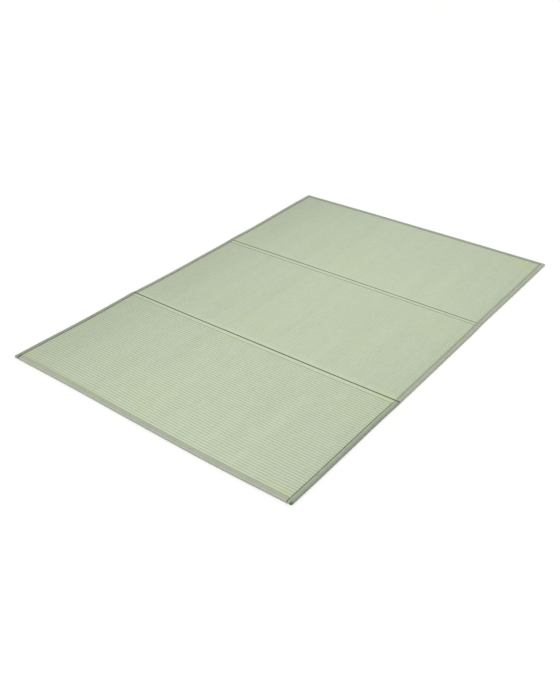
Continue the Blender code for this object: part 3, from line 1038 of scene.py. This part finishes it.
def pale_floor():
    """Painted board: plain, matt and nearly white."""
    colours = bpy.context.scene.tatami_colours
    material, _, shader = new_material("floor_matt_paint", 0.9)
    shader.inputs["Base Color"].default_value = (*colours.floor, 1)
    return material


def direction(azimuth, elevation):
    """Toward a place round the mat: its turn from the near end, and its height."""
    return Vector((sin(azimuth) * cos(elevation), -cos(azimuth) * cos(elevation), sin(elevation)))


# ---- operators -------------------------------------------------------------------------------
FLOOR_REACH = 30.0           # its edge is out of the camera's sight, but a low view shows it
LIGHT_SPREAD = radians(45)   # a broad source, for soft shadows


class TATAMI_OT_stage(Operator):
    """Lay the pale floor, set the soft light and place the camera"""

    bl_idname = "tatami.stage"
    bl_label = "Stage"

    def execute(self, context):
        stage = context.scene.tatami_stage
        self.add_floor(context.scene)
        self.add_light(context.scene, stage)
        self.add_camera(context.scene, stage)
        context.scene.view_settings.view_transform = "Standard"
        return {"FINISHED"}

    def add_floor(self, scene):
        corners = [(x * FLOOR_REACH, y * FLOOR_REACH, 0)
                   for x, y in ((-1, -1), (1, -1), (1, 1), (-1, 1))]
        mesh = bpy.data.meshes.new("floor")
        mesh.from_pydata(corners, [], [(0, 1, 2, 3)])
        mesh.materials.append(pale_floor())
        floor = bpy.data.objects.new("floor", mesh)
        scene.collection.objects.link(floor)

    def add_light(self, scene, stage):
        world = bpy.data.worlds.new("white_surroundings")
        world.use_nodes = True
        background = world.node_tree.nodes["Background"]
        background.inputs["Color"].default_value = (1, 1, 1, 1)
        background.inputs["Strength"].default_value = stage.sky
        scene.world = world
        light = bpy.data.lights.new("key_light", "SUN")
        light.energy, light.angle = stage.key, LIGHT_SPREAD
        key = bpy.data.objects.new("key_light", light)
        toward = direction(stage.key_azimuth, stage.key_elevation)
        key.rotation_euler = (-toward).to_track_quat("-Z", "Y").to_euler()
        scene.collection.objects.link(key)

    def add_camera(self, scene, stage):
        lens = bpy.data.cameras.new("camera")
        lens.lens = stage.lens
        camera = bpy.data.objects.new("camera", lens)
        back = direction(stage.azimuth, stage.elevation)
        camera.location = Vector((stage.look_x, stage.look_y, 0)) + back * stage.distance
        turn = (-back).to_track_quat("-Z", "Y").to_matrix()
        camera.rotation_euler = (turn @ Matrix.Rotation(stage.roll, 3, "Z")).to_euler()
        scene.collection.objects.link(camera)
        scene.camera = camera


class TATAMI_OT_panels(Operator):
    """Weave the three rush panels and the spine strip between the second and the third"""

    bl_idname = "tatami.panels"
    bl_label = "Rush panels"

    def execute(self, context):
        rush = woven_rush()
        for woven in WOVEN:
            weave(woven, rush)
        return {"FINISHED"}


SIDE_ROW_END = 0.006         # a side binding's row of stitches stops this far from its ends
END_ROW_END = 0.004          # and an end binding's row this far


class TATAMI_OT_bindings(Operator):
    """Fold the cloth bindings round the sides and the ends, and sew them down"""

    bl_idname = "tatami.bindings"
    bl_label = "Bindings and stitches"

    def execute(self, context):
        cloth, thread = binding_cloth(), sewing_thread()
        for number, tape in enumerate(SIDE_TAPES):
            self.add_side(tape, cloth, thread, 60 + 4 * number)
        for number, tape in enumerate(END_TAPES):
            self.add_end(tape, cloth, thread, 80 + 4 * number)
        return {"FINISHED"}

    def add_side(self, tape, cloth, thread, seed):
        section = BEFORE_FOLD if tape.end < 0 else AFTER_FOLD
        creases = () if tape.end < 0 else (SPINE_NEAR.y, SPINE_FAR.y)
        outer_end, fold_end = ((section.low, section.high) if tape.end < 0
                               else (section.high, section.low))

        def layout(radius):
            columns = leg_lines(tape.side * HALF_WIDTH, -tape.side, radius, tape)
            tip = fold_end + tape.end * (FOLD_END_GAP + MIDDLE - radius)
            by_fold = rounded(tip, tape.end, FOLD_REACH, pull=1.0)
            by_corner = bound_edge(outer_end, -tape.end, radius)
            low_rim, high_rim = (by_corner, by_fold) if tape.end < 0 else (by_fold, by_corner)
            run = run_lines(section.low + NOSE_CENTRE, section.high - NOSE_CENTRE, creases)
            rows = low_rim + run + high_rim[::-1]
            return (columns if tape.side < 0 else columns[::-1]), rows

        open_wall = "last column" if tape.side < 0 else "first column"
        piece = bind(tape, layout, lambda x, y: HALF_WIDTH - np.abs(x), (open_wall,), section,
                     cloth, seed, creases)
        inset = tape.side * (HALF_WIDTH - tape.seam * lip_of(tape))
        stitches = sew(f"stitches_{tape.label}", (inset, section.low + SIDE_ROW_END),
                       (inset, section.high - SIDE_ROW_END), section, thread, seed + 2)

    def add_end(self, tape, cloth, thread, seed):
        section, left, right = ((BEFORE_FOLD, *SIDE_TAPES[:2]) if tape.end < 0
                                else (AFTER_FOLD, *SIDE_TAPES[2:]))
        low = -HALF_WIDTH + lip_of(left) + left.butt
        high = HALF_WIDTH - lip_of(right) - right.butt
        edge = tape.end * HALF_LENGTH

        def layout(radius):
            columns = plain([low]) + run_lines(low, high) + plain([high])
            rows = leg_lines(edge, -tape.end, radius, tape)
            return columns, (rows if tape.end < 0 else rows[::-1])

        open_wall = "last row" if tape.end < 0 else "first row"
        piece = bind(tape, layout, lambda x, y: HALF_LENGTH - np.abs(y),
                     (open_wall, "first column", "last column"), section, cloth, seed)
        inset = tape.end * (HALF_LENGTH - tape.seam * lip_of(tape))
        stitches = sew(f"stitches_{tape.label}", (low + END_ROW_END, inset),
                       (high - END_ROW_END, inset), section, thread, seed + 2)


class TATAMI_PT_panel(Panel):
    """Sizes, colours and makers of the tatami mat"""

    bl_label = "Tatami mat"
    bl_idname = "TATAMI_PT_panel"
    bl_space_type = "VIEW_3D"
    bl_region_type = "UI"
    bl_category = "Tatami"

    def draw(self, context):
        for group in (context.scene.tatami_sizes, context.scene.tatami_colours,
                      context.scene.tatami_stage):
            box = self.layout.box()
            for name in group.__annotations__:
                box.prop(group, name)
        for operator in OPERATORS:
            self.layout.operator(operator.bl_idname)


OPERATORS = (TATAMI_OT_stage, TATAMI_OT_panels, TATAMI_OT_bindings)
GROUPS = {"tatami_sizes": TatamiSizes, "tatami_colours": TatamiColours,
          "tatami_stage": TatamiStage}


def register():
    for cls in (*GROUPS.values(), *OPERATORS, TATAMI_PT_panel):
        bpy.utils.register_class(cls)
    for name, group in GROUPS.items():
        setattr(bpy.types.Scene, name, PointerProperty(type=group))


def unregister():
    for name in GROUPS:
        delattr(bpy.types.Scene, name)
    for cls in reversed((*GROUPS.values(), *OPERATORS, TATAMI_PT_panel)):
        bpy.utils.unregister_class(cls)


def main():
    register()
    bpy.ops.tatami.stage()
    bpy.ops.tatami.panels()
    bpy.ops.tatami.bindings()


if __name__ == "__main__":
    main()
